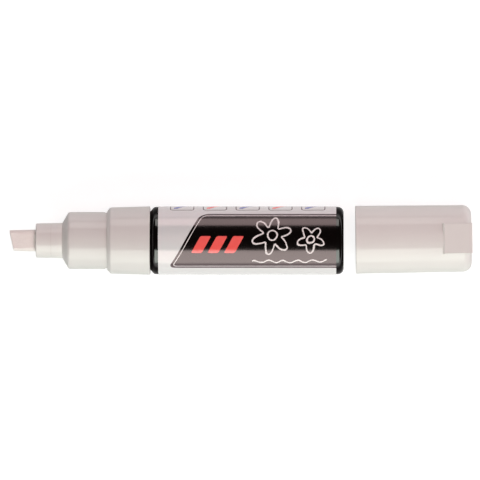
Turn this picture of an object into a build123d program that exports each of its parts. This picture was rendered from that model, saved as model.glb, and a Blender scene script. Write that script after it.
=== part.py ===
from build123d import *
import math
import os

# Broad-nib liquid chalk marker lying on a table, with its cap taken off behind its tail.
# Millimetres, +Z up. X runs along the marker, with the nib towards -X and the cap towards +X.
# The table is z = 0, and the origin is under the middle of the row of marker and cap.
# Each piece of the marker is drawn on its own axis by its station, the distance behind the
# nib's point, and each piece of the cap by its depth behind the cap's mouth.

# Clearances
fixed_gap = 0.03  # pieces pushed together for good, each side
slide_gap = 0.15  # pieces that slide past each other, each side
loose_gap = 0.2  # pieces that only pass each other, each side
overrun = 1.0  # how far a cut goes past the face that it opens

# Nib
nib_reach = 9.0  # point of the nib to the front of its holder
nib_length = 27.0
nib_width = 7.3
nib_thickness = 5.0
nib_slant = 1.55  # how far back the lower corner of the writing edge lies
nib_side_round = 1.7
nib_wedge = 0.25  # how much each flat side closes in from the holder to the point
nib_edge_round = 0.35
valve_stroke = 2.0  # how far the nib is pushed in to open the valve

# Nib holder
nose_length = 5.2
nose_taper = 0.1  # how much the front is smaller than the seam, each side
nose_edge_round = 0.4
spigot_length = 6.8  # behind the nose, inside the front section
spigot_wall = 0.97  # at the corners of the nib
vent_width = 1.6  # groove beside each flat side of the nib
vent_depth = 0.5

# Front section, from the holder back to the barrel
seam_groove = 0.12  # depth and width of the fine line where the nose meets the collar
collar_length = 3.7
collar_wall = 0.9
collar_taper = 0.1  # how much it grows to the rear, each side
cone_length = 2.1
cone_wall = 1.9  # along the axis
cone_foot_round = 0.25
cone_round = 1.2
seat_length = 13.0
seat_wall = 1.6
snap_groove_width = 0.8  # groove that the cap's bead clicks into
snap_groove_depth = 0.2
shoulder_height = 1.55  # seat to the skirt, each side
shoulder_land = 0.35  # narrow flat that stops the cap
shoulder_length = 1.1
shoulder_round = 0.8
skirt_length = 13.3  # shoulder's top to the rear edge
skirt_taper = 0.35  # how much it grows to the rear, each side
skirt_wall = 1.2  # at its thin front end
skirt_edge_round = 0.2
flange_setback = 1.4  # shoulder to the inner face that the valve's flange bears on

# Barrel
barrel_diameter = 22.7
barrel_wall = 1.5
ring_length = 2.75  # bare black ring in front of the label
ring_slope_length = 1.25
ring_round = 1.5
ring_gap = 0.05  # skirt's rear edge to the ring
neck_wall = 1.65
neck_edge_round = 0.3
neck_bead_height = 0.3
neck_bead_width = 1.2
neck_bead_place = 3.4  # ring to the bead's nearer side
tail_length = 2.5  # bare black end behind the label
tail_wall = 1.8
tail_round = 2.0
tail_foot_width = 2.85  # flat rim that the marker stands on
tail_dish_depth = 0.5
tank_round = 1.4

# Label
label_length = 59.7
label_thickness = 0.12
label_seam_width = 0.3
label_seam_angle = 325.0  # degrees round the axis from +Y towards +Z

# Valve
flange_length = 1.6
gasket_length = 0.8
housing_wall = 1.3
head_gap = 1.0  # room round the valve's head for the liquid
head_length = 1.6
head_margin = 0.3  # how far the head reaches past the seal
seal_thickness = 1.0
seal_margin = 0.5  # how far the seal reaches past the lip
lip_width = 0.6
lip_height = 0.4
lip_inset = 0.4  # lip to the edge of the hole that the stem passes through
stem_diameter = 3.6
spring_diameter = 7.5  # over the outside of its turns
spring_wire = 0.7
spring_turns = 5.5
spring_length = 11.0
cage_plug_length = 2.0
cage_flange_length = 1.2
cage_land = 0.8  # spring's inside to the cage's hole
cage_port_diameter = 1.6
cage_port_count = 6

# Mixing ball
ball_diameter = 8.0
ball_place = 22.0  # cage to the near side of the ball, where it came to rest

# Cap
cap_gap = 4.0  # marker's tail to the cap's mouth
cap_side_shift = 0.25  # the cap lies a little off the marker's line
cap_skew = 0.75  # degrees
cap_wall = 1.77  # at the mouth
cap_taper = 0.22  # how much it shrinks to the closed end, each side
cap_deep_wall = 1.9  # behind the bore that closes on the seat
cap_end_wall = 1.8
cap_end_round = 3.0
cap_inner_round = 0.8
cap_mouth_round = 0.3
cap_seat_reach = 2.0  # how far that bore goes on past the seat
cap_bead_width = 0.6
cap_bead_height = 0.15
rib_count = 6
rib_width = 1.2
rib_lead = 2.0  # how far the ribs start behind the liner's mouth
panel_length = 9.9
panel_width = 10.3
panel_rise = 0.35  # above the cap's round side
panel_overhang = 0.2  # past the cap's flat end
panel_ramp = 0.6
panel_edge_round = 0.25

# Inner cap
liner_wall = 1.0
liner_end_wall = 1.2
liner_overlap = 7.6  # how far it reaches over the nose and collar when the cap is on
liner_lead = 0.35
nib_room = 2.9  # nib's point to the liner's end when the cap is on

# Radii, from the barrel inwards and from the nib outwards
barrel_radius = barrel_diameter / 2
tank_radius = barrel_radius - barrel_wall
label_inner_radius = barrel_radius + fixed_gap
label_radius = label_inner_radius + label_thickness
skirt_rear_radius = label_radius
skirt_front_radius = skirt_rear_radius - skirt_taper
skirt_bore_radius = skirt_front_radius - skirt_wall
neck_radius = skirt_bore_radius - loose_gap
neck_bore_radius = neck_radius - neck_wall
seat_radius = skirt_front_radius - shoulder_height
chamber_radius = seat_radius - seat_wall
nib_corner_x = nib_width / 2 - nib_side_round
nib_corner_y = nib_thickness / 2 - nib_side_round
nib_corner_radius = math.hypot(nib_corner_x, nib_corner_y) + nib_side_round
spigot_radius = nib_corner_radius + slide_gap + spigot_wall
collar_bore_radius = spigot_radius + fixed_gap
seam_radius = collar_bore_radius + collar_wall
collar_rear_radius = seam_radius + collar_taper
housing_radius = neck_bore_radius - fixed_gap
housing_bore_radius = housing_radius - housing_wall
head_radius = housing_bore_radius - head_gap
seal_radius = head_radius - head_margin
lip_outer_radius = seal_radius - seal_margin
lip_inner_radius = lip_outer_radius - lip_width
port_radius = lip_inner_radius - lip_inset
stem_radius = stem_diameter / 2
spring_outer_radius = spring_diameter / 2
spring_radius = spring_outer_radius - spring_wire / 2
spring_inner_radius = spring_outer_radius - spring_wire
pilot_radius = spring_inner_radius - slide_gap
ball_radius = ball_diameter / 2
cap_bore_radius = seat_radius + fixed_gap
cap_mouth_radius = cap_bore_radius + cap_wall
cap_end_radius = cap_mouth_radius - cap_taper
cap_deep_radius = cap_end_radius - cap_deep_wall
liner_bore_radius = collar_rear_radius + fixed_gap
liner_radius = liner_bore_radius + liner_wall

# Stations along the marker
nose_station = nib_reach
seam_station = nose_station + nose_length
cone_station = seam_station + collar_length
seat_station = cone_station + cone_length
shoulder_station = seat_station + seat_length
skirt_station = shoulder_station + shoulder_length
skirt_end_station = skirt_station + skirt_length
ring_station = skirt_end_station + ring_gap
label_station = ring_station + ring_length
label_end_station = label_station + label_length
tail_station = label_end_station + tail_length
tank_end_station = tail_station - tail_wall
snap_station = shoulder_station - snap_groove_width
neck_bead_end_station = ring_station - neck_bead_place
neck_bead_station = neck_bead_end_station - neck_bead_width
flange_station = shoulder_station + flange_setback
valve_seat_station = flange_station + flange_length
neck_station = valve_seat_station + gasket_length
seal_station = valve_seat_station + lip_height
head_station = seal_station + seal_thickness
spring_station = head_station + head_length
cage_station = spring_station + spring_length
pilot_end_station = cage_station - valve_stroke - fixed_gap
housing_end_station = cage_station + cage_plug_length
cage_end_station = housing_end_station + cage_flange_length
ball_station = cage_end_station + ball_place + ball_radius

# Depths along the cap, and the places of the marker and the cap
cap_seat_depth = seat_length + cap_seat_reach
liner_depth = shoulder_station - nose_station - liner_overlap
liner_floor_depth = shoulder_station + nib_room
cap_floor_depth = liner_floor_depth + liner_end_wall
cap_length = cap_floor_depth + cap_end_wall
rib_depth = liner_depth + rib_lead
row_length = tail_station + cap_gap + cap_length + panel_overhang
marker_place = Pos(-row_length / 2, 0, label_radius)
cap_mouth_x = tail_station + cap_gap - row_length / 2
cap_place = Pos(cap_mouth_x, cap_side_shift, cap_mouth_radius) * Rot(0, 0, cap_skew)


def lathe(*corners):
    """Turns an outline about the X axis: its corners are (station, radius, rounding)."""
    points = [(station, radius) for station, radius, rounding in corners]
    roundings = [rounding for station, radius, rounding in corners]
    return revolve(make_face(FilletPolyline(*points, radius=roundings, close=True)), Axis.X)


def round_bar(start, end, radius):
    """A plain round bar on the axis."""
    return extrude(Plane.YZ.offset(start) * Circle(radius), end - start)


def make_chisel_nib():
    half = nib_width / 2
    thick = nib_thickness / 2
    thin = thick - nib_wedge
    from_above = Polyline(
        (0, half), (nib_slant, -half), (nib_length, -half), (nib_length, half), close=True
    )
    from_side = Plane.XZ * Polyline(
        (0, thin),
        (nib_reach, thick),
        (nib_length, thick),
        (nib_length, -thick),
        (nib_reach, -thick),
        (0, -thin),
        close=True,
    )
    block = extrude(make_face(from_above), thick, both=True)
    block = fillet(block.edges().filter_by(Axis.X), nib_side_round)
    block = block & extrude(make_face(from_side), half, both=True)
    writing_face = block.faces().sort_by(Axis.X)[0]
    return fillet(writing_face.edges(), nib_edge_round)


def make_nib_holder():
    end = seam_station + spigot_length
    groove_station = seam_station - seam_groove
    groove_radius = seam_radius - seam_groove
    body = lathe(
        (nose_station, 0, 0),
        (nose_station, seam_radius - nose_taper, nose_edge_round),
        (groove_station, seam_radius, 0),
        (groove_station, groove_radius, 0),
        (seam_station, groove_radius, 0),
        (seam_station, spigot_radius, 0),
        (end, spigot_radius, 0),
        (end, 0, 0),
    )
    slot_width = nib_width + 2 * slide_gap
    slot_thickness = nib_thickness + 2 * slide_gap
    slot = RectangleRounded(slot_width, slot_thickness, nib_side_round + slide_gap)
    vents = Rectangle(vent_width, slot_thickness + 2 * vent_depth)
    cut = Plane.YZ.offset(nose_station - overrun) * (slot + vents)
    return body - extrude(cut, end - nose_station + 2 * overrun)


def make_front_section():
    cone_slope = (seat_radius - collar_rear_radius) / cone_length
    bore_end = cone_station + cone_wall + (collar_bore_radius - collar_rear_radius) / cone_slope
    chamber_station = bore_end + (chamber_radius - collar_bore_radius) / cone_slope
    groove_radius = seat_radius - snap_groove_depth
    pocket_end = neck_bead_end_station + loose_gap
    pocket_start = neck_bead_station - loose_gap
    pocket_radius = skirt_bore_radius + neck_bead_height
    return lathe(
        (seam_station, seam_radius, 0),
        (cone_station, collar_rear_radius, cone_foot_round),
        (seat_station, seat_radius, cone_round),
        (snap_station, seat_radius, 0),
        (snap_station, groove_radius, 0),
        (shoulder_station, groove_radius, 0),
        (shoulder_station, seat_radius + shoulder_land, 0),
        (skirt_station, skirt_front_radius, shoulder_round),
        (skirt_end_station, skirt_rear_radius, skirt_edge_round),
        (skirt_end_station, skirt_bore_radius, 0),
        (pocket_end, skirt_bore_radius, 0),
        (pocket_end, pocket_radius, 0),
        (pocket_start, pocket_radius, 0),
        (pocket_start, skirt_bore_radius, 0),
        (flange_station, skirt_bore_radius, 0),
        (flange_station, chamber_radius, 0),
        (chamber_station, chamber_radius, 0),
        (bore_end, collar_bore_radius, 0),
        (seam_station, collar_bore_radius, 0),
    )


def make_barrel():
    bead_radius = neck_radius + neck_bead_height
    throat_station = ring_station + barrel_wall
    tank_station = throat_station + tank_radius - neck_bore_radius
    dish_station = tail_station - tail_dish_depth
    dish_radius = barrel_radius - tail_round - tail_foot_width
    return lathe(
        (neck_station, neck_bore_radius, 0),
        (neck_station, neck_radius, neck_edge_round),
        (neck_bead_station, neck_radius, 0),
        (neck_bead_station + neck_bead_height, bead_radius, 0),
        (neck_bead_end_station, bead_radius, 0),
        (neck_bead_end_station, neck_radius, 0),
        (ring_station, neck_radius, 0),
        (ring_station + ring_slope_length, barrel_radius, ring_round),
        (tail_station, barrel_radius, tail_round),
        (tail_station, dish_radius, 0),
        (dish_station, dish_radius - tail_dish_depth, 0),
        (dish_station, 0, 0),
        (tank_end_station, 0, 0),
        (tank_end_station, tank_radius, tank_round),
        (tank_station, tank_radius, 0),
        (throat_station, neck_bore_radius, 0),
    )


def make_label_sleeve():
    film = lathe(
        (label_station, label_inner_radius, 0),
        (label_station, label_radius, 0),
        (label_end_station, label_radius, 0),
        (label_end_station, label_inner_radius, 0),
    )
    middle = (label_station + label_end_station) / 2
    blade = Box(label_length + 2 * overrun, barrel_diameter, label_seam_width)
    return film - Rot(label_seam_angle, 0, 0) * Pos(middle, barrel_diameter, 0) * blade


def make_valve_housing():
    return lathe(
        (flange_station, port_radius, 0),
        (flange_station, neck_radius, 0),
        (valve_seat_station, neck_radius, 0),
        (valve_seat_station, housing_radius, 0),
        (housing_end_station, housing_radius, 0),
        (housing_end_station, housing_bore_radius, 0),
        (valve_seat_station, housing_bore_radius, 0),
        (valve_seat_station, lip_outer_radius, 0),
        (seal_station, lip_outer_radius, 0),
        (seal_station, lip_inner_radius, 0),
        (valve_seat_station, lip_inner_radius, 0),
        (valve_seat_station, port_radius, 0),
    )


def make_barrel_gasket():
    ring = round_bar(valve_seat_station, neck_station, neck_radius)
    return ring - round_bar(valve_seat_station, neck_station, neck_bore_radius)


def make_valve_stem():
    rod = round_bar(nib_length, head_station, stem_radius)
    head = round_bar(head_station, spring_station, head_radius)
    # The pilot keeps the spring centred, and meets the cage at the end of the stroke.
    pilot = round_bar(spring_station, pilot_end_station, pilot_radius)
    return rod + head + pilot


def make_valve_seal():
    washer = round_bar(seal_station, head_station, seal_radius)
    return washer - round_bar(seal_station, head_station, stem_radius + fixed_gap)


def spring_point(turn):
    """Middle of the spring's wire after some turns."""
    angle = 2 * math.pi * turn
    station = spring_station + spring_length * turn / spring_turns
    return Vector(station, spring_radius * math.cos(angle), spring_radius * math.sin(angle))


def spring_direction(turn):
    """Way that the wire runs there."""
    angle = 2 * math.pi * turn
    climb = spring_length / spring_turns / (2 * math.pi)
    across = Vector(0, -spring_radius * math.sin(angle), spring_radius * math.cos(angle))
    return (Vector(climb, 0, 0) + across).normalized()


def biarc(turn, next_turn):
    """Two arcs that carry the wire from one turn to the next without a kink."""
    start = spring_point(turn)
    end = spring_point(next_turn)
    leave = spring_direction(turn)
    arrive = spring_direction(next_turn)
    chord = end - start
    spread = 2 * (1 - leave.dot(arrive))
    along = chord.dot(leave + arrive)
    reach = (math.sqrt(along**2 + spread * chord.dot(chord)) - along) / spread
    middle = (start + end + (leave - arrive) * reach) / 2
    crossing = (end - arrive * reach) - (start + leave * reach)
    return [
        Edge.make_tangent_arc(start, leave, middle),
        Edge.make_tangent_arc(middle, crossing, end),
    ]


def spring_least_gap():
    """Least space between neighbouring turns, measured on points."""
    steps_per_turn = 36
    count = round(spring_turns * steps_per_turn)
    points = [spring_point(step / steps_per_turn) for step in range(count + 1)]
    apart = [
        (points[later] - points[step]).length
        for step in range(count + 1)
        for later in range(step + steps_per_turn // 2, count + 1)
    ]
    return min(apart) - spring_wire


def make_valve_spring():
    steps_per_turn = 4
    arcs = []
    for step in range(round(spring_turns * steps_per_turn)):
        arcs += biarc(step / steps_per_turn, (step + 1) / steps_per_turn)
    section = Plane(origin=spring_point(0), z_dir=spring_direction(0)) * Circle(spring_wire / 2)
    coil = sweep(section, path=Wire(arcs))
    return coil & round_bar(spring_station, cage_station, spring_outer_radius + overrun)


def make_spring_cage():
    plug_radius = housing_bore_radius - fixed_gap
    body = round_bar(cage_station, housing_end_station, plug_radius)
    body += round_bar(housing_end_station, cage_end_station, housing_radius)
    port_ring_radius = (spring_outer_radius + plug_radius) / 2
    holes = Circle(spring_inner_radius - cage_land)
    holes += PolarLocations(port_ring_radius, cage_port_count) * Circle(cage_port_diameter / 2)
    cut = Plane.YZ.offset(cage_station - overrun) * holes
    return body - extrude(cut, cage_end_station - cage_station + 2 * overrun)


def make_mixing_ball():
    drop = tank_radius - ball_radius - slide_gap
    return Pos(ball_station, 0, -drop) * Sphere(ball_radius)


def make_cap_shell():
    step_depth = cap_seat_depth + cap_bore_radius - cap_deep_radius
    bead_start = (snap_groove_width - cap_bead_width) / 2
    bead_end = bead_start + cap_bead_width
    bead_radius = cap_bore_radius - cap_bead_height
    outside = lathe(
        (0, 0, 0),
        (0, cap_mouth_radius, cap_mouth_round),
        (cap_length, cap_end_radius, cap_end_round),
        (cap_length, 0, 0),
    )
    hollow = lathe(
        (-overrun, 0, 0),
        (-overrun, cap_bore_radius, 0),
        (bead_start, cap_bore_radius, 0),
        (bead_start + cap_bead_height, bead_radius, 0),
        (bead_end - cap_bead_height, bead_radius, 0),
        (bead_end, cap_bore_radius, 0),
        (cap_seat_depth, cap_bore_radius, 0),
        (step_depth, cap_deep_radius, 0),
        (cap_floor_depth, cap_deep_radius, cap_inner_round),
        (cap_floor_depth, 0, 0),
    )
    return outside + make_cap_panel() - hollow + make_cap_ribs()


def make_cap_panel():
    """Flat raised panel near the closed end, which keeps the cap from rolling."""
    end = cap_length + panel_overhang
    top = cap_end_radius + panel_rise
    foot = cap_end_radius - cap_end_round
    middle = Pos(end - panel_length / 2, 0, (top + foot) / 2)
    block = middle * Box(panel_length, panel_width, top - foot)
    ramp_edge = block.faces().sort_by(Axis.Z)[-1].edges().sort_by(Axis.X)[0]
    block = chamfer(ramp_edge, panel_ramp)
    top_edges = block.faces().sort_by(Axis.Z)[-1].edges().sort_by(Axis.X)
    return fillet(top_edges[1:], panel_edge_round)


def make_cap_ribs():
    """Ribs along the inside that hold the liner in the middle, rooted in the wall and the end."""
    inner = liner_radius + fixed_gap
    outer = cap_deep_radius + cap_deep_wall / 2
    end = cap_floor_depth + cap_end_wall / 2
    middle = Pos((rib_depth + end) / 2, (inner + outer) / 2, 0)
    rib = middle * Box(end - rib_depth, outer - inner, rib_width)
    turn = 360 / rib_count
    return [Rot((index + 1 / 2) * turn, 0, 0) * rib for index in range(rib_count)]


def make_inner_cap():
    return lathe(
        (liner_depth, liner_bore_radius + liner_lead, 0),
        (liner_depth, liner_radius, 0),
        (cap_floor_depth, liner_radius, 0),
        (cap_floor_depth, 0, 0),
        (liner_floor_depth, 0, 0),
        (liner_floor_depth, liner_bore_radius, 0),
        (liner_depth + liner_lead, liner_bore_radius, 0),
    )


marker_pieces = {
    "chisel_nib": make_chisel_nib,
    "nib_holder": make_nib_holder,
    "front_section": make_front_section,
    "barrel": make_barrel,
    "label_sleeve": make_label_sleeve,
    "valve_housing": make_valve_housing,
    "barrel_gasket": make_barrel_gasket,
    "valve_stem": make_valve_stem,
    "valve_seal": make_valve_seal,
    "valve_spring": make_valve_spring,
    "spring_cage": make_spring_cage,
    "mixing_ball": make_mixing_ball,
}
cap_pieces = {
    "cap_shell": make_cap_shell,
    "inner_cap": make_inner_cap,
}

os.makedirs("parts", exist_ok=True)
for place, pieces in ((marker_place, marker_pieces), (cap_place, cap_pieces)):
    for name, make in pieces.items():
        export_step(place * make(), f"parts/{name}.step")
print(f"valve_spring: least gap between turns {spring_least_gap():.2f} mm")
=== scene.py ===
import math

import bpy
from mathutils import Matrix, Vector, noise


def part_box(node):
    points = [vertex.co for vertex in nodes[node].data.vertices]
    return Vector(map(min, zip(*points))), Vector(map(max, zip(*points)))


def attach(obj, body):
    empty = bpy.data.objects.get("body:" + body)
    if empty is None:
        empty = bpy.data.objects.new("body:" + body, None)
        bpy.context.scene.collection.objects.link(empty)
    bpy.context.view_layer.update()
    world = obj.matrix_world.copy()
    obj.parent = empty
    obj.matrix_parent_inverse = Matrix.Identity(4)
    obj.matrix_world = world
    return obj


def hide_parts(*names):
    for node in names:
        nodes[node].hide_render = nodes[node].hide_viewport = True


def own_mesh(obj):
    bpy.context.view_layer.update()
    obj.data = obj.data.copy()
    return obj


# A liquid chalk marker lying on a white table with its cap off, seen from above.
# Metres, in the part's own frame: X runs along the marker, nib towards -X, and Z is up.
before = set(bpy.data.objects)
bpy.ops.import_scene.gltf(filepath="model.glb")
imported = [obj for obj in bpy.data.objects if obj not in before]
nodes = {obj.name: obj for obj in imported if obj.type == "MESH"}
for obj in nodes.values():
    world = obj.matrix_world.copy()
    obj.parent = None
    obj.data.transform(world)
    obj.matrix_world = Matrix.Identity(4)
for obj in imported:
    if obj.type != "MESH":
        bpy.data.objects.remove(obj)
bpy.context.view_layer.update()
mm = 0.001

# Places read from the frame
label_low, label_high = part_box("label_sleeve")
nib_low, nib_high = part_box("chisel_nib")
holder_low, holder_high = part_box("nib_holder")
spring_low, spring_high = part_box("valve_spring")
axis_height = (label_low.z + label_high.z) / 2
label_radius = (label_high.z - label_low.z) / 2
label_length = label_high.x - label_low.x
holder_radius = (holder_high.z - holder_low.z) / 2

# Camera, nearly straight above
camera_height = 3.0
camera_side = 32 * mm  # the eye stands that far towards the cap from the middle of the picture
view_width = 161.3 * mm  # what the picture takes in at the height of the marker's axis
view_middle = (-0.18 * mm, 0.17 * mm)
sensor_width = 36.0

# Studio light: a softbox on each side of the marker, which its gloss shows as long bands, and soft
# lights above, behind and beyond both ends, which even out the shading and don't show in the gloss.
# Angles are degrees from straight up towards -Y, and shifts run along X.
near_distance = 0.7  # from the marker's axis to the softboxes on each side
far_distance = 2.0  # and to those above and behind
key_light = dict(
    length=0.8, start=33.0, end=84.0, shift=0.0, radiance=2.5, colour=(0.98, 1.055, 0.965)
)
fill_light = dict(
    length=0.45, start=-52.0, end=-79.5, shift=0.05, radiance=1.5, colour=(1.035, 1.01, 0.955)
)
top_light = dict(
    length=1.0, width=1.4, tilt=-3.0, shift=0.4, radiance=3.65, colour=(1.235, 0.87, 0.895)
)
back_light = dict(
    length=2.0, width=0.5, tilt=-82.0, shift=0.6, radiance=3.1, colour=(1.03, 0.99, 0.98)
)
end_distance, end_height, end_size = 1.5, 0.3, 1.0
rear_radiance, front_radiance = 2.2, 0.4
neutral = (1.0, 1.0, 1.0)
horizon_colour = (1.0, 0.98, 0.97, 1.0)
ceiling_colour = (0.01, 0.009, 0.008, 1.0)
horizon_top, ceiling_start = 0.05, 0.09  # sine of the elevation
floor_size = 8.0
floor_glow = 0.78


# Building blocks for node trees
def feed(tree, socket, value):
    """Links an output to a socket, or sets the socket's own value."""
    if isinstance(value, bpy.types.NodeSocket):
        tree.links.new(value, socket)
    else:
        socket.default_value = value


def add(tree, kind, inputs=None, **settings):
    """Adds a node with its settings, and feeds its inputs by name or number."""
    node = tree.nodes.new(kind)
    for name, value in settings.items():
        setattr(node, name, value)
    for name, value in (inputs or {}).items():
        feed(tree, node.inputs[name], value)
    return node


def calc(tree, operation, *values):
    """One step of arithmetic."""
    node = add(tree, "ShaderNodeMath", operation=operation)
    for socket, value in zip(node.inputs, values):
        feed(tree, socket, value)
    return node.outputs[0]


def reach(tree, across, along):
    """Length of a flat vector."""
    vector = add(tree, "ShaderNodeCombineXYZ", {"X": across, "Y": along}).outputs[0]
    return add(tree, "ShaderNodeVectorMath", {0: vector}, operation="LENGTH").outputs["Value"]


def remap(tree, value, low, high, start=0.0, end=1.0):
    """Carries a value from one span to another and stops at its ends."""
    inputs = {"Value": value, "From Min": low, "From Max": high, "To Min": start, "To Max": end}
    return add(tree, "ShaderNodeMapRange", inputs).outputs["Result"]


def blend(tree, share, first, second):
    """Mixes two colours; the numbers are those of the node's colour sockets."""
    return add(tree, "ShaderNodeMix", {0: share, 6: first, 7: second}, data_type="RGBA").outputs[2]


def cover(tree, colour, mask, share, over):
    """Lays a second colour over the first where the mask is, at this share."""
    return blend(tree, calc(tree, "MULTIPLY", mask, share), colour, over)


def object_place(tree):
    """Place in the part's frame, which stays with a piece when it moves."""
    return add(tree, "ShaderNodeTexCoord").outputs["Object"]


def object_axes(tree):
    """The same place as X, Y and Z."""
    return add(tree, "ShaderNodeSeparateXYZ", {0: object_place(tree)}).outputs


def cloud(tree, size, detail):
    """Soft noise whose lumps are about this many metres across."""
    scale = calc(tree, "DIVIDE", 1.0, size)
    inputs = {"Vector": object_place(tree), "Scale": scale, "Detail": detail}
    return add(tree, "ShaderNodeTexNoise", inputs).outputs[0]


def new_group(name, inputs, outputs):
    """An empty shader group with number sockets, its entry and its exit."""
    group = bpy.data.node_groups.new(name, "ShaderNodeTree")
    for socket, value in inputs.items():
        made = group.interface.new_socket(socket, in_out="INPUT", socket_type="NodeSocketFloat")
        made.default_value = value
    for socket in outputs:
        group.interface.new_socket(socket, in_out="OUTPUT", socket_type="NodeSocketFloat")
    return group, add(group, "NodeGroupInput").outputs, add(group, "NodeGroupOutput").inputs


def place(tree, group, **values):
    """Puts a shared effect into a material."""
    return add(tree, "ShaderNodeGroup", values, node_tree=group).outputs


# Effects that several finishes share
def make_moulded_skin():
    """Fine grain and slow flow marks of moulded plastic."""
    sizes = {"grain": 0.15 * mm, "flow": 7 * mm}
    group, given, result = new_group("moulded_skin", sizes, ("height", "tone"))
    feed(group, result["height"], cloud(group, given["grain"], detail=3.0))
    slow = cloud(group, given["flow"], detail=2.0)
    feed(group, result["tone"], remap(group, slow, 0.2, 0.8))
    return group


def make_edge_rub():
    """Where handling has rubbed an edge: the normal turns quickly there."""
    group, given, result = new_group("edge_rub", {"reach": 0.25 * mm}, ("edge",))
    bevel = add(group, "ShaderNodeBevel", {"Radius": given["reach"]}, samples=4).outputs[0]
    normal = add(group, "ShaderNodeNewGeometry").outputs["Normal"]
    alike = add(group, "ShaderNodeVectorMath", {0: bevel, 1: normal}, operation="DOT_PRODUCT")
    turned = remap(group, alike.outputs["Value"], 0.99, 0.75)
    patches = remap(group, cloud(group, 1.5 * mm, detail=4.0), 0.35, 0.65)
    feed(group, result["edge"], calc(group, "MULTIPLY", turned, patches))
    return group


def make_hairline_scratches():
    """Thin scratches in three directions, in patches."""
    group, given, result = new_group("hairline_scratches", {"amount": 0.5}, ("scratch",))
    length = 4 * mm
    total = 0.0
    turns_and_spacings = ((0.5, 0.055 * mm), (1.3, 0.085 * mm), (-0.9, 0.07 * mm))
    for turn, spacing in turns_and_spacings:
        rotation = (turn, turn / 2, turn)
        scale = (1 / length, 1 / spacing, 1 / length)
        turned = add(group, "ShaderNodeMapping", {"Vector": object_place(group), "Rotation": rotation})
        drawn_out = add(group, "ShaderNodeMapping", {"Vector": turned.outputs[0], "Scale": scale})
        inputs = {"Vector": drawn_out.outputs[0], "Scale": 1.0, "Detail": 1.0}
        lines = add(group, "ShaderNodeTexNoise", inputs).outputs[0]
        total = calc(group, "MAXIMUM", total, remap(group, lines, 0.70, 0.76))
    patches = remap(group, cloud(group, 9 * mm, detail=2.0), 0.45, 0.7)
    shown = calc(group, "MULTIPLY", total, patches)
    feed(group, result["scratch"], calc(group, "MULTIPLY", shown, given["amount"]))
    return group


def make_crevice_shade_and_dust():
    """Corners and seams found by ambient occlusion: painted shade where the plastics darken there, settled
    dust on the rubber.
    """
    # The output named dust carries painted shade on the white and milky plastics, and dust on the rubber.
    group, given, result = new_group("crevice_shade_and_dust", {"reach": 0.6 * mm}, ("dust",))
    hidden = add(group, "ShaderNodeAmbientOcclusion", {"Distance": given["reach"]}, samples=6)
    feed(group, result["dust"], remap(group, hidden.outputs["AO"], 0.75, 0.25))
    return group


def make_drawn_grain():
    """Noise in grains of a given length and width that lie along X, as in fibres and drawn metal."""
    sizes = {"length": 1.0 * mm, "width": 0.1 * mm, "detail": 3.0}
    group, given, result = new_group("drawn_grain", sizes, ("grain",))
    along = calc(group, "DIVIDE", 1.0, given["length"])
    across = calc(group, "DIVIDE", 1.0, given["width"])
    scale = add(group, "ShaderNodeCombineXYZ", {"X": along, "Y": across, "Z": across}).outputs[0]
    drawn_out = add(group, "ShaderNodeMapping", {"Vector": object_place(group), "Scale": scale})
    inputs = {"Vector": drawn_out.outputs[0], "Scale": 1.0, "Detail": given["detail"]}
    feed(group, result["grain"], add(group, "ShaderNodeTexNoise", inputs).outputs[0])
    return group


def make_rounded_box():
    """Distance to a box with rounded corners, negative inside."""
    sizes = {"across": 0.0, "along": 0.0, "half_width": 1.0, "half_height": 1.0, "corner": 0.1}
    group, given, result = new_group("rounded_box", sizes, ("distance",))
    past = []
    for offset, half in (("across", "half_width"), ("along", "half_height")):
        straight = calc(group, "SUBTRACT", given[half], given["corner"])
        past.append(calc(group, "SUBTRACT", calc(group, "ABSOLUTE", given[offset]), straight))
    outer = reach(group, *[calc(group, "MAXIMUM", value, 0.0) for value in past])
    inner = calc(group, "MINIMUM", calc(group, "MAXIMUM", *past), 0.0)
    total = calc(group, "SUBTRACT", calc(group, "ADD", outer, inner), given["corner"])
    feed(group, result["distance"], total)
    return group


def make_drawn_flower():
    """Distance to the drawn line of a flower: a row of petals and a round heart."""
    sizes = {"across": 0.0, "along": 0.0, "radius": 5.0, "petals": 6.0, "turn": 0.0}
    group, given, result = new_group("drawn_flower", sizes, ("distance",))
    mean_share, wave_share, heart_share = 0.74, 0.26, 0.24
    least_radius = 0.01
    radius = calc(group, "MAXIMUM", reach(group, given["across"], given["along"]), least_radius)
    angle = calc(group, "ADD", calc(group, "ARCTAN2", given["along"], given["across"]), given["turn"])
    phase = calc(group, "MULTIPLY", angle, given["petals"])
    wave = calc(group, "MULTIPLY", calc(group, "COSINE", phase), wave_share)
    petal = calc(group, "MULTIPLY", calc(group, "ADD", wave, mean_share), given["radius"])
    swing = calc(group, "MULTIPLY", calc(group, "SINE", phase), wave_share)
    slope = calc(group, "MULTIPLY", calc(group, "MULTIPLY", swing, given["petals"]), given["radius"])
    lean = calc(group, "DIVIDE", slope, petal)
    steep = calc(group, "SQRT", calc(group, "MULTIPLY_ADD", lean, lean, 1.0))
    off = calc(group, "ABSOLUTE", calc(group, "SUBTRACT", radius, petal))
    to_petal = calc(group, "DIVIDE", off, steep)
    heart = calc(group, "MULTIPLY", given["radius"], heart_share)
    to_heart = calc(group, "ABSOLUTE", calc(group, "SUBTRACT", radius, heart))
    feed(group, result["distance"], calc(group, "MINIMUM", to_petal, to_heart))
    return group


moulded_skin = make_moulded_skin()
edge_rub = make_edge_rub()
hairline_scratches = make_hairline_scratches()
crevice_shade_and_dust = make_crevice_shade_and_dust()
drawn_grain = make_drawn_grain()
rounded_box = make_rounded_box()
drawn_flower = make_drawn_flower()


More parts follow.
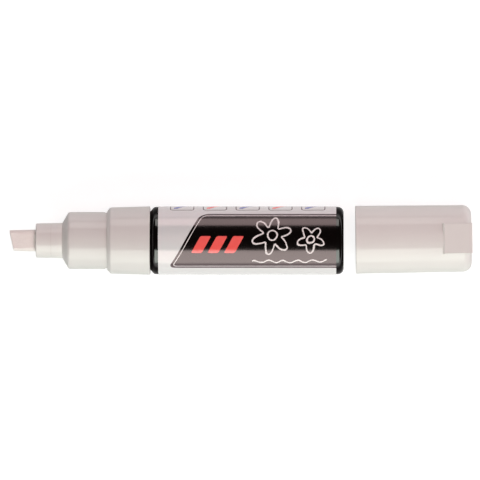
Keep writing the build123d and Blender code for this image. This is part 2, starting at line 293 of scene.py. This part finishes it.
# Finishes
def start_finish(name, **plain):
    """A new material; plain values go on the shader's own sockets, _ standing for a space."""
    material = bpy.data.materials.new(name)
    material.use_nodes = True
    tree = material.node_tree
    shader = tree.nodes["Principled BSDF"]
    for socket, value in plain.items():
        shader.inputs[socket.replace("_", " ")].default_value = value
    return material, tree, shader.inputs


def add_bump(tree, shader, height, depth, strength):
    """Relief on the surface, this many metres deep."""
    inputs = {"Height": height, "Distance": depth, "Strength": strength}
    feed(tree, shader["Normal"], add(tree, "ShaderNodeBump", inputs).outputs[0])


def fading_gloss(tree, start, end, least):
    """Weight of a clear gloss that fades where the surface turns away from the eye."""
    facing = add(tree, "ShaderNodeLayerWeight", {"Blend": 0.5}).outputs["Facing"]
    return remap(tree, facing, start, end, 1.0, least)


def painted_light_places(tree):
    """1 on the cap and on the slim nose, which get the painted lit copy, 0 on the wide part of the front
    section, which gets the painted shaded copy.
    """
    nose_fade = 2 * mm
    split = object_axes(tree)
    on_cap = remap(tree, split["X"], label_low.x, label_high.x)
    radius = reach(tree, split["Y"], calc(tree, "SUBTRACT", split["Z"], axis_height))
    on_nose = remap(tree, radius, holder_radius + nose_fade, holder_radius)
    return calc(tree, "MAXIMUM", on_cap, on_nose)


def make_white_plastic():
    """Glossy white polypropylene in a painted lit copy on the cap and nose and a painted shaded copy on the
    wide part of the front section, with painted shade in corners and seams.
    """
    # Lit and shaded copies of one white: the darker pair is painted shade, the lighter pair painted light.
    shaded_white_dark, shaded_white_light = (0.705, 0.695, 0.685, 1), (0.725, 0.715, 0.705, 1)
    lit_white_dark, lit_white_light = (0.76, 0.745, 0.733, 1), (0.78, 0.765, 0.753, 1)
    # dust is the colour of painted shade in corners and seams.
    rubbed, dust = (0.85, 0.825, 0.805, 1), (0.42, 0.37, 0.35, 1)
    material, tree, shader = start_finish(
        "white_plastic",
        IOR=1.5,
        Specular_IOR_Level=0.7,
        Specular_Tint=(0.9, 1.0, 0.95, 1.0),
        Coat_Roughness=0.03,
        Coat_IOR=1.5,
    )
    skin = place(tree, moulded_skin, grain=0.14 * mm, flow=8 * mm)
    rub = place(tree, edge_rub, reach=0.25 * mm)
    shade = place(tree, crevice_shade_and_dust, reach=0.7 * mm)
    shaded_white = blend(tree, skin["tone"], shaded_white_dark, shaded_white_light)
    lit_white = blend(tree, skin["tone"], lit_white_dark, lit_white_light)
    colour = blend(tree, painted_light_places(tree), shaded_white, lit_white)
    colour = cover(tree, colour, rub["edge"], 0.5, rubbed)
    # Painted shade: corners and seams darkened where ambient occlusion finds them hidden.
    colour = cover(tree, colour, shade["dust"], 0.55, dust)
    feed(tree, shader["Base Color"], colour)
    feed(tree, shader["Roughness"], remap(tree, skin["tone"], 0.0, 1.0, 0.52, 0.58))
    feed(tree, shader["Coat Weight"], fading_gloss(tree, start=0.3, end=0.7, least=0.1))
    add_bump(tree, shader, skin["height"], depth=0.004 * mm, strength=0.3)
    return material


def make_black_plastic():
    """Glossy black polypropylene of the barrel."""
    darkest, lightest = (0.0015, 0.001, 0.001, 1), (0.003, 0.002, 0.002, 1)
    rubbed = (0.05, 0.046, 0.045, 1)
    material, tree, shader = start_finish(
        "black_plastic", IOR=1.5, Specular_IOR_Level=0.02, Coat_Roughness=0.14, Coat_IOR=1.92
    )
    skin = place(tree, moulded_skin, grain=0.12 * mm, flow=6 * mm)
    rub = place(tree, edge_rub, reach=0.25 * mm)
    marks = place(tree, hairline_scratches, amount=0.6)
    colour = blend(tree, skin["tone"], darkest, lightest)
    feed(tree, shader["Base Color"], cover(tree, colour, rub["edge"], 0.4, rubbed))
    rough = remap(tree, skin["tone"], 0.0, 1.0, 0.17, 0.21)
    feed(tree, shader["Roughness"], calc(tree, "MULTIPLY_ADD", marks["scratch"], 0.25, rough))
    worn = calc(tree, "MULTIPLY_ADD", marks["scratch"], -0.4, 1.0)
    gloss = fading_gloss(tree, start=0.2, end=0.42, least=0.0)
    feed(tree, shader["Coat Weight"], calc(tree, "MULTIPLY", gloss, worn))
    add_bump(tree, shader, skin["height"], depth=0.01 * mm, strength=0.4)
    return material


def make_nib_felt():
    """Pressed polyester fibre, running along the nib."""
    fibre_dark, fibre_light = (0.87, 0.825, 0.805, 1), (0.93, 0.885, 0.865, 1)
    tuft_shade = (0.82, 0.77, 0.74, 1)
    material, tree, shader = start_finish(
        "nib_felt", Roughness=0.6, Sheen_Weight=0.3, Sheen_Roughness=0.6, Specular_IOR_Level=0.6
    )
    fibres = place(tree, drawn_grain, length=1.4 * mm, width=0.09 * mm, detail=4.0)["grain"]
    tufts = cloud(tree, 0.5 * mm, detail=3.0)
    colour = blend(tree, remap(tree, fibres, 0.3, 0.7), fibre_dark, fibre_light)
    colour = blend(tree, remap(tree, tufts, 0.45, 0.75, 0.0, 0.3), colour, tuft_shade)
    feed(tree, shader["Base Color"], colour)
    relief = calc(tree, "MULTIPLY_ADD", tufts, 0.5, fibres)
    add_bump(tree, shader, relief, depth=0.06 * mm, strength=0.8)
    return material


def make_milky_plastic(name, dark, light, grain):
    """Natural, slightly cloudy polyethylene, with painted shade in its corners and seams."""
    # dust is the colour of painted shade in corners and seams.
    rubbed, dust = (0.9, 0.89, 0.87, 1), (0.4, 0.38, 0.36, 1)
    material, tree, shader = start_finish(
        name, IOR=1.5, Subsurface_Weight=0.25, Subsurface_Scale=0.4 * mm
    )
    skin = place(tree, moulded_skin, grain=grain, flow=4 * mm)
    rub = place(tree, edge_rub, reach=0.2 * mm)
    shade = place(tree, crevice_shade_and_dust, reach=0.8 * mm)
    colour = blend(tree, skin["tone"], dark, light)
    colour = cover(tree, colour, rub["edge"], 0.5, rubbed)
    # Painted shade: corners and seams darkened where ambient occlusion finds them hidden.
    feed(tree, shader["Base Color"], cover(tree, colour, shade["dust"], 0.3, dust))
    feed(tree, shader["Roughness"], remap(tree, skin["tone"], 0.0, 1.0, 0.32, 0.45))
    add_bump(tree, shader, skin["height"], depth=0.015 * mm, strength=0.5)
    return material


def make_seal_rubber():
    """Soft dark rubber with a bloom of fine dust."""
    darkest, lightest = (0.02, 0.019, 0.018, 1), (0.045, 0.042, 0.04, 1)
    dust = (0.16, 0.15, 0.14, 1)
    material, tree, shader = start_finish("seal_rubber", Specular_IOR_Level=0.35)
    skin = place(tree, moulded_skin, grain=0.08 * mm, flow=2 * mm)
    shade = place(tree, crevice_shade_and_dust, reach=0.5 * mm)
    colour = blend(tree, skin["tone"], darkest, lightest)
    feed(tree, shader["Base Color"], cover(tree, colour, shade["dust"], 0.4, dust))
    feed(tree, shader["Roughness"], remap(tree, skin["tone"], 0.0, 1.0, 0.6, 0.8))
    add_bump(tree, shader, skin["height"], depth=0.03 * mm, strength=0.6)
    return material


def make_steel(name, grain_length, grain_width):
    """Drawn or polished steel, with the marks of its making lying along X."""
    dark, light, rubbed = (0.45, 0.44, 0.43, 1), (0.62, 0.61, 0.6, 1), (0.75, 0.74, 0.73, 1)
    material, tree, shader = start_finish(name, Metallic=1.0)
    drawn = place(tree, drawn_grain, length=grain_length, width=grain_width, detail=3.0)["grain"]
    marks = place(tree, hairline_scratches, amount=0.8)
    rub = place(tree, edge_rub, reach=0.1 * mm)
    colour = blend(tree, drawn, dark, light)
    feed(tree, shader["Base Color"], cover(tree, colour, rub["edge"], 0.4, rubbed))
    rough = remap(tree, drawn, 0.3, 0.7, 0.16, 0.3)
    feed(tree, shader["Roughness"], calc(tree, "MULTIPLY_ADD", marks["scratch"], 0.2, rough))
    add_bump(tree, shader, drawn, depth=0.01 * mm, strength=0.5)
    return material


# Printed label, in millimetres along the film from its front edge and round it from the top towards -Y
film_seam = math.radians(-125)  # the film's two ends meet there, low on the +Y side
print_lean = 0.55  # the field's end and the bars lean that far to the nib for each millimetre round the film
film_white = (0.725, 0.76, 0.77, 1)
ink_black = (0.002, 0.0014, 0.0014, 1)
ink_red = (0.95, 0.12, 0.105, 1)
ink_blue = (0.07, 0.11, 0.42, 1)
ink_grey = (0.36, 0.34, 0.34, 1)
chalk_white = (0.95, 0.94, 0.94, 1)


def label_places(tree):
    """Places along and round the film."""
    split = object_axes(tree)
    along = calc(tree, "DIVIDE", calc(tree, "SUBTRACT", split["X"], label_low.x), mm)
    up = calc(tree, "SUBTRACT", split["Z"], axis_height)
    angle = calc(tree, "ARCTAN2", calc(tree, "MULTIPLY", split["Y"], -1.0), up)
    behind = calc(tree, "LESS_THAN", angle, film_seam)
    unrolled = calc(tree, "MULTIPLY_ADD", behind, 2 * math.pi, angle)
    return along, calc(tree, "MULTIPLY", unrolled, label_radius / mm)


def inside(tree, distance, soft=0.08):
    """1 where a distance is negative, with an edge this soft."""
    return remap(tree, distance, soft / 2, -soft / 2)


def line_at(tree, distance, half):
    """Distance to a line of this half width that runs where the first distance is zero."""
    return calc(tree, "SUBTRACT", calc(tree, "ABSOLUTE", distance), half)


def repeat(tree, value, first, pitch, count):
    """Number of the nearest of several like things in a row, and the distance from its middle."""
    step = calc(tree, "DIVIDE", calc(tree, "SUBTRACT", value, first), pitch)
    number = calc(tree, "MAXIMUM", calc(tree, "ROUND", step), 0.0)
    number = calc(tree, "MINIMUM", number, count - 1.0)
    return number, calc(tree, "MULTIPLY", calc(tree, "SUBTRACT", step, number), pitch)


def black_field(tree, colour, slanted, round_it):
    """A black field with a slanted front end and a white pinstripe just inside its edge."""
    front, middle, half_height, corner = 9.0, 0.2, 10.4, 2.2
    half_length = 80.0  # so long that it runs off the film's rear edge
    stripe_inset, stripe_half = 0.9, 0.11
    squeeze = math.hypot(1, print_lean)
    from_middle = calc(tree, "SUBTRACT", slanted, front + half_length)
    field = place(
        tree,
        rounded_box,
        across=calc(tree, "DIVIDE", from_middle, squeeze),
        along=calc(tree, "SUBTRACT", round_it, middle),
        half_width=half_length / squeeze,
        half_height=half_height,
        corner=corner,
    )["distance"]
    stripe = line_at(tree, calc(tree, "ADD", field, stripe_inset), stripe_half)
    colour = blend(tree, inside(tree, field), colour, ink_black)
    return blend(tree, inside(tree, stripe), colour, chalk_white)


def red_bars(tree, colour, slanted, round_it):
    """Three red bars that lean like the field's front end."""
    count, first, pitch, width = 3, 15.2, 5.5, 3.6
    middle, half_height, corner = 1.4, 2.9, 0.5
    bar = place(
        tree,
        rounded_box,
        across=repeat(tree, slanted, first, pitch, count)[1],
        along=calc(tree, "SUBTRACT", round_it, middle),
        half_width=width / 2,
        half_height=half_height,
        corner=corner,
    )["distance"]
    return blend(tree, inside(tree, bar), colour, ink_red)


def wavy_line(tree, along, round_it):
    """Distance to the wavy line under the flowers."""
    start, end, height, swing, wave_length = 32.0, 56.0, 7.5, 0.5, 4.8
    sway = calc(tree, "SINE", calc(tree, "MULTIPLY", along, 2 * math.pi / wave_length))
    wave = calc(tree, "MULTIPLY_ADD", sway, swing, height)
    to_wave = calc(tree, "ABSOLUTE", calc(tree, "SUBTRACT", round_it, wave))
    past_end = line_at(tree, calc(tree, "SUBTRACT", along, (start + end) / 2), (end - start) / 2)
    return calc(tree, "MAXIMUM", to_wave, past_end)


def chalk_drawing(tree, along, round_it):
    """Mask of the chalk strokes: two flowers over a wavy line, unsteady and dusty."""
    flowers = (  # centre along and round the film, radius, petals, turn
        (38.2, -1.7, 6.7, 6.0, 0.3),
        (51.2, -0.4, 4.6, 5.0, 0.9),
    )
    wobble_along, wobble_round = 1.2, -1.0
    stroke_half, dust_bite, soft = 0.42, -0.34, 0.1
    wobble = calc(tree, "SUBTRACT", cloud(tree, 4 * mm, detail=1.0), 0.5)
    along = calc(tree, "MULTIPLY_ADD", wobble, wobble_along, along)
    round_it = calc(tree, "MULTIPLY_ADD", wobble, wobble_round, round_it)
    stroke = wavy_line(tree, along, round_it)
    for centre_along, centre_round, radius, petals, turn in flowers:
        flower = place(
            tree,
            drawn_flower,
            across=calc(tree, "SUBTRACT", along, centre_along),
            along=calc(tree, "SUBTRACT", round_it, centre_round),
            radius=radius,
            petals=petals,
            turn=turn,
        )
        stroke = calc(tree, "MINIMUM", stroke, flower["distance"])
    dust = cloud(tree, 0.22 * mm, detail=3.0)
    dusty_half = calc(tree, "MULTIPLY_ADD", dust, dust_bite, stroke_half)
    covered = inside(tree, calc(tree, "SUBTRACT", stroke, dusty_half), soft)
    return calc(tree, "MULTIPLY", covered, remap(tree, dust, 0.62, 0.4, 0.7, 1.0))


def swatch_row(tree, colour, along, round_it):
    """Row of small framed swatches on the +Y side, each with a blue or red dash across it."""
    count, first, pitch, half, corner = 5, 8.0, 11.0, 3.9, 0.9
    middle, frame_half, dash_half, dash_inset = -16.4, 0.18, 1.1, 1.1
    number, in_swatch = repeat(tree, along, first, pitch, count)
    up_swatch = calc(tree, "SUBTRACT", round_it, middle)
    square = place(
        tree,
        rounded_box,
        across=in_swatch,
        along=up_swatch,
        half_width=half,
        half_height=half,
        corner=corner,
    )["distance"]
    diagonal = line_at(tree, calc(tree, "ADD", in_swatch, up_swatch), dash_half)
    dash = calc(tree, "MAXIMUM", diagonal, calc(tree, "ADD", square, dash_inset))
    dash_ink = blend(tree, calc(tree, "MODULO", number, 2.0), ink_blue, ink_red)
    colour = blend(tree, inside(tree, dash), colour, dash_ink)
    return blend(tree, inside(tree, line_at(tree, square, frame_half)), colour, ink_black)


def note_panel(tree, colour, along, round_it):
    """Blank ruled panel for a note, on the underside."""
    half_length, half_height, corner, middle = 22.0, 8.0, 1.5, 31.5
    rule_pitch, rule_half, rule_inset, border_half = 4.0, 0.08, 1.6, 0.15
    up_panel = calc(tree, "SUBTRACT", round_it, middle)
    panel = place(
        tree,
        rounded_box,
        across=calc(tree, "SUBTRACT", along, label_length / mm / 2),
        along=up_panel,
        half_width=half_length,
        half_height=half_height,
        corner=corner,
    )["distance"]
    off_rule = calc(tree, "WRAP", up_panel, rule_pitch / 2, -rule_pitch / 2)
    rule = line_at(tree, off_rule, rule_half)
    rule = calc(tree, "MAXIMUM", rule, calc(tree, "ADD", panel, rule_inset))
    colour = blend(tree, inside(tree, rule), colour, ink_grey)
    return blend(tree, inside(tree, line_at(tree, panel, border_half)), colour, ink_black)


def make_label_film():
    """Printed and varnished wrap, slightly wavy, finely scratched, with chalk that stands proud."""
    material, tree, shader = start_finish(
        "label_film", IOR=2.05, Specular_Tint=(1.0, 0.76, 0.8, 1.0)
    )
    along, round_it = label_places(tree)
    slanted = calc(tree, "MULTIPLY_ADD", round_it, print_lean, along)
    chalk = chalk_drawing(tree, along, round_it)
    colour = black_field(tree, film_white, slanted, round_it)
    colour = red_bars(tree, colour, slanted, round_it)
    colour = blend(tree, chalk, colour, chalk_white)
    colour = swatch_row(tree, colour, along, round_it)
    colour = note_panel(tree, colour, along, round_it)
    feed(tree, shader["Base Color"], colour)
    marks = place(tree, hairline_scratches, amount=0.5)
    smudge = remap(tree, cloud(tree, 10 * mm, detail=3.0), 0.2, 0.8, 0.16, 0.19)
    rough = calc(tree, "MULTIPLY_ADD", marks["scratch"], 0.2, smudge)
    feed(tree, shader["Roughness"], calc(tree, "MULTIPLY_ADD", chalk, 0.25, rough))
    relief = calc(tree, "MULTIPLY_ADD", chalk, 0.2, cloud(tree, 5 * mm, detail=1.0))
    add_bump(tree, shader, relief, depth=0.015 * mm, strength=0.5)
    return material


# Which finish each node has
finishes = {
    "white_plastic": make_white_plastic(),
    "black_plastic": make_black_plastic(),
    "label_film": make_label_film(),
    "nib_felt": make_nib_felt(),
    "liner_plastic": make_milky_plastic(
        "liner_plastic", (0.66, 0.65, 0.63, 1), (0.74, 0.73, 0.71, 1), grain=0.12 * mm
    ),
    "valve_plastic": make_milky_plastic(
        "valve_plastic", (0.6, 0.59, 0.55, 1), (0.7, 0.69, 0.65, 1), grain=0.1 * mm
    ),
    "seal_rubber": make_seal_rubber(),
    "spring_steel": make_steel("spring_steel", grain_length=0.6 * mm, grain_width=0.05 * mm),
    "ball_steel": make_steel("ball_steel", grain_length=0.3 * mm, grain_width=0.3 * mm),
}
finish_of = {
    "nib_holder": "white_plastic",
    "front_section": "white_plastic",
    "cap_shell": "white_plastic",
    "barrel": "black_plastic",
    "label_sleeve": "label_film",
    "inner_cap": "liner_plastic",
    "valve_housing": "valve_plastic",
    "valve_stem": "valve_plastic",
    "spring_cage": "valve_plastic",
    "barrel_gasket": "seal_rubber",
    "valve_seal": "seal_rubber",
    "mixing_ball": "ball_steel",
}
for node_name, finish_name in finish_of.items():
    nodes[node_name].data.materials.clear()
    nodes[node_name].data.materials.append(finishes[finish_name])


# Meshes
def add_object(name, data):
    """A new object in the scene."""
    made = bpy.data.objects.new(name, data)
    bpy.context.scene.collection.objects.link(made)
    return made


def new_piece(name, rings, finish_name, body, stands_for):
    """A smooth tube through rings that replaces a node and moves with its body."""
    points, faces = skin_rings(rings)
    mesh = bpy.data.meshes.new(name)
    mesh.from_pydata(points, [], faces)
    mesh.validate()
    mesh.polygons.foreach_set("use_smooth", [True] * len(mesh.polygons))
    mesh.materials.append(finishes[finish_name])
    piece = add_object(name, mesh)
    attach(piece, body)
    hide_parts(stands_for)
    return piece


def skin_rings(rings):
    """Points and faces of a tube through rings of equal count, its two ends closed by fans."""
    count = len(rings[0])
    sides = [(side, (side + 1) % count) for side in range(count)]
    points = [point for ring in rings for point in ring]
    faces = []
    for row in range(len(rings) - 1):
        first, second = row * count, (row + 1) * count
        for side, after in sides:
            faces.append((first + side, first + after, second + after, second + side))
    last = (len(rings) - 1) * count
    for start, ring, flipped in ((0, rings[0], True), (last, rings[-1], False)):
        middle = len(points)
        points.append(sum(ring, Vector()) / count)
        for side, after in sides:
            pair = (after, side) if flipped else (side, after)
            faces.append((start + pair[0], start + pair[1], middle))
    return points, faces


def rounded_outline(half_width, half_height, corner, count):
    """Points evenly round a rectangle with rounded corners, and the outward direction at each."""
    flat_width = 2 * (half_width - corner)
    flat_height = 2 * (half_height - corner)
    quarter = corner * math.pi / 2
    stretches = (flat_height, quarter, flat_width, quarter) * 2
    total = sum(stretches)
    corners = ((1, 1), (-1, 1), (-1, -1), (1, -1))
    outline = []
    for index in range(count):
        left = total * index / count
        stretch = 0
        while left > stretches[stretch]:
            left -= stretches[stretch]
            stretch += 1
        corner_index, is_round = divmod(stretch, 2)
        sign_across, sign_up = corners[corner_index]
        centre = Vector((sign_across * flat_width / 2, sign_up * flat_height / 2))
        angle = corner_index * math.pi / 2
        if is_round:
            angle += left / corner
        outward = Vector((math.cos(angle), math.sin(angle)))
        point = centre + outward * corner
        if not is_round:
            point -= Vector((-outward.y, outward.x)) * (stretches[stretch] - left)
        outline.append((point, outward))
    return outline


# Felt nib: a bar whose flats close in towards a slanted writing face, with a skin frayed by its fibres
nib_half_width = (nib_high.y - nib_low.y) / 2
nib_half_height = (nib_high.z - nib_low.z) / 2
nib_middle = (nib_low.y + nib_high.y) / 2
nib_point = nib_low.x - 0.08 * mm  # the rounded edge of the writing face falls back from it
nib_free_length = holder_low.x - nib_point
face_slant, side_round, edge_round = 1.55 * mm, 1.7 * mm, 0.35 * mm
point_thinning, point_narrowing = 0.25 * mm, 0.2 * mm  # off each side between holder and point
fibre_length, fibre_width, fibre_depth = 1.6 * mm, 0.16 * mm, 0.035 * mm
fibre_end_width, fibre_end_depth = 0.22 * mm, 0.05 * mm


def fray(spot):
    """Rough value at a spot given in fibre sizes."""
    smoothness, step, octaves = 0.8, 2.0, 3
    return noise.fractal(spot, smoothness, step, octaves)


def nib_ring(distance, inset, face_share):
    """Outline this far behind the writing face, drawn in by inset, or shrunk to a share of the face."""
    points_round = 176
    toward_point = max(0.0, 1 - distance / nib_free_length)
    at_face = max(0.0, 1 - distance / edge_round)
    wide = nib_half_width - point_narrowing * toward_point - inset
    flat_height = nib_half_height - point_thinning * toward_point - inset
    ring = []
    for flat, outward in rounded_outline(wide, nib_half_height - inset, side_round - inset, points_round):
        flat.y = min(max(flat.y, -flat_height), flat_height)
        flat = flat * face_share
        lean = face_slant * (nib_half_width - flat.x) / (2 * nib_half_width) * toward_point
        x = nib_point + distance + lean
        ridge = fray(Vector((x / fibre_length, flat.x / fibre_width, flat.y / fibre_width)))
        push = fibre_depth * ridge * face_share * (1 - at_face)
        pull = fray(Vector((flat.x, flat.y, 0.0)) / fibre_end_width) * fibre_end_depth * at_face
        point = Vector((x, nib_middle + flat.x, axis_height + flat.y))
        ring.append(point + Vector((pull, outward.x * push, outward.y * push)))
    return ring


def make_felt_nib():
    """Chisel nib of pressed fibre, from the middle of its writing face to its rear end."""
    face_rings, edge_rings, shown_rings, hidden_rings = 14, 6, 64, 4
    shown_end = nib_free_length + 1.5 * mm  # the fine rings go on that far into the holder
    rear_end = nib_high.x - nib_point
    rings = [nib_ring(0.0, edge_round, step / face_rings) for step in range(1, face_rings + 1)]
    for step in range(1, edge_rings + 1):
        angle = step / edge_rings * math.pi / 2
        rings.append(nib_ring(edge_round * (1 - math.cos(angle)), edge_round * (1 - math.sin(angle)), 1.0))
    for step in range(1, shown_rings + 1):
        rings.append(nib_ring(edge_round + (shown_end - edge_round) * step / shown_rings, 0.0, 1.0))
    for step in range(1, hidden_rings + 1):
        rings.append(nib_ring(shown_end + (rear_end - shown_end) * step / hidden_rings, 0.0, 1.0))
    new_piece("felt_nib", rings, "nib_felt", "nib", "chisel_nib")


def make_valve_coil():
    """Coil spring with ground ends, built at one fixed length; the real one shortens as the nib is pressed
    in.
    """
    turns, wire = 5.5, 0.7 * mm
    steps_per_turn, wire_sides = 48, 16
    steps = turns * steps_per_turn
    coil_radius = (spring_high.y - spring_low.y - wire) / 2
    length = spring_high.x - spring_low.x
    rise = length / turns / (2 * math.pi)
    rings = []
    for step in range(round(steps) + 1):
        angle = 2 * math.pi * step / steps_per_turn
        outward = Vector((0, math.cos(angle), math.sin(angle)))
        forward = Vector((rise, -coil_radius * math.sin(angle), coil_radius * math.cos(angle)))
        sideways = forward.normalized().cross(outward)
        middle = Vector((spring_low.x + length * step / steps, 0, axis_height)) + outward * coil_radius
        ring = []
        for side in range(wire_sides):
            swing = 2 * math.pi * side / wire_sides
            point = middle + (outward * math.cos(swing) + sideways * math.sin(swing)) * wire / 2
            point.x = min(max(point.x, spring_low.x), spring_high.x)
            ring.append(point)
        rings.append(ring)
    coil = new_piece("valve_coil", rings, "spring_steel", "barrel", "valve_spring")
    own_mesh(coil)


make_felt_nib()
make_valve_coil()


# Stage
def make_floor():
    """Table that is white to the camera, in reflections and through clear things, and takes shadows."""
    paper_dark, paper_light, paper_patch = (0.38, 0.39, 0.39, 1), (0.42, 0.43, 0.43, 1), 0.3
    half = floor_size / 2
    mesh = bpy.data.meshes.new("table")
    corners = [(-half, -half, 0), (half, -half, 0), (half, half, 0), (-half, half, 0)]
    mesh.from_pydata(corners, [], [(0, 1, 2, 3)])
    material = bpy.data.materials.new("table_white")
    material.use_nodes = True
    tree = material.node_tree
    tree.nodes.clear()
    paper = blend(tree, cloud(tree, paper_patch, detail=3.0), paper_dark, paper_light)
    diffuse = add(tree, "ShaderNodeBsdfDiffuse", {"Color": paper}).outputs[0]
    path = add(tree, "ShaderNodeLightPath").outputs
    seen = calc(tree, "ADD", path["Is Camera Ray"], path["Is Glossy Ray"])
    seen = calc(tree, "MINIMUM", calc(tree, "ADD", seen, path["Is Transmission Ray"]), 1.0)
    strength = calc(tree, "MULTIPLY", seen, floor_glow)
    glow = add(tree, "ShaderNodeEmission", {"Strength": strength}).outputs[0]
    both = add(tree, "ShaderNodeAddShader", {0: diffuse, 1: glow}).outputs[0]
    add(tree, "ShaderNodeOutputMaterial", {"Surface": both})
    mesh.materials.append(material)
    add_object("table", mesh)


def make_softbox(name, middle, turn, length, width, radiance, colour, in_gloss):
    """Soft rectangular light that the camera doesn't see."""
    lamp = bpy.data.lights.new(name, "AREA")
    lamp.shape = "RECTANGLE"
    lamp.size = length
    lamp.size_y = width
    lamp.energy = radiance * math.pi * length * width
    lamp.color = colour
    light = add_object(name, lamp)
    light.location = middle
    light.rotation_euler = turn
    light.visible_camera = False
    light.visible_glossy = in_gloss


def make_long_softbox(name, length, width, tilt, distance, shift, radiance, colour, in_gloss):
    """Softbox that lies along X, tilted from straight up towards -Y."""
    angle = math.radians(tilt)
    towards = Vector((0, -math.sin(angle), math.cos(angle)))
    middle = Vector((shift, 0, axis_height)) + towards * distance
    make_softbox(name, middle, (angle, 0, 0), length, width, radiance, colour, in_gloss)


def make_side_softbox(name, length, start, end, shift, radiance, colour):
    """Softbox beside the marker, which the marker sees between two angles."""
    width = 2 * near_distance * math.tan(math.radians(abs(end - start) / 2))
    tilt = (start + end) / 2
    make_long_softbox(name, length, width, tilt, near_distance, shift, radiance, colour, True)


def make_distant_softbox(name, length, width, tilt, shift, radiance, colour):
    """Large softbox further off."""
    make_long_softbox(name, length, width, tilt, far_distance, shift, radiance, colour, False)


def make_end_softbox(name, side, radiance):
    """Softbox beyond one end of the marker, facing the middle of the table."""
    middle = Vector((side * end_distance, 0, end_height))
    turn = middle.to_track_quat("Z", "Y").to_euler()
    make_softbox(name, middle, turn, end_size, end_size, radiance, neutral, False)


def make_world():
    """Pale horizon all round, under a dark ceiling."""
    world = bpy.data.worlds.new("studio")
    bpy.context.scene.world = world
    world.use_nodes = True
    tree = world.node_tree
    direction = add(tree, "ShaderNodeTexCoord").outputs["Generated"]
    height = add(tree, "ShaderNodeSeparateXYZ", {0: direction}).outputs["Z"]
    share = remap(tree, height, horizon_top, ceiling_start)
    colour = blend(tree, share, horizon_colour, ceiling_colour)
    feed(tree, tree.nodes["Background"].inputs["Color"], colour)


def make_camera():
    """Camera high above the marker, aimed at the middle of the picture."""
    rise = camera_height - axis_height
    lens = bpy.data.cameras.new("above")
    lens.sensor_width = sensor_width
    lens.lens = sensor_width * rise / view_width
    camera = add_object("above", lens)
    camera.location = (view_middle[0] + camera_side, view_middle[1], camera_height)
    camera.rotation_euler = (0, math.atan2(camera_side, rise), 0)
    bpy.context.scene.camera = camera


make_floor()
make_side_softbox("key_softbox", **key_light)
make_side_softbox("fill_softbox", **fill_light)
make_distant_softbox("top_softbox", **top_light)
make_distant_softbox("back_softbox", **back_light)
make_end_softbox("rear_softbox", 1, rear_radiance)
make_end_softbox("front_softbox", -1, front_radiance)
make_world()
make_camera()
bpy.context.scene.view_settings.view_transform = "Standard"

# Bring the scene up to date
bpy.context.view_layer.update()
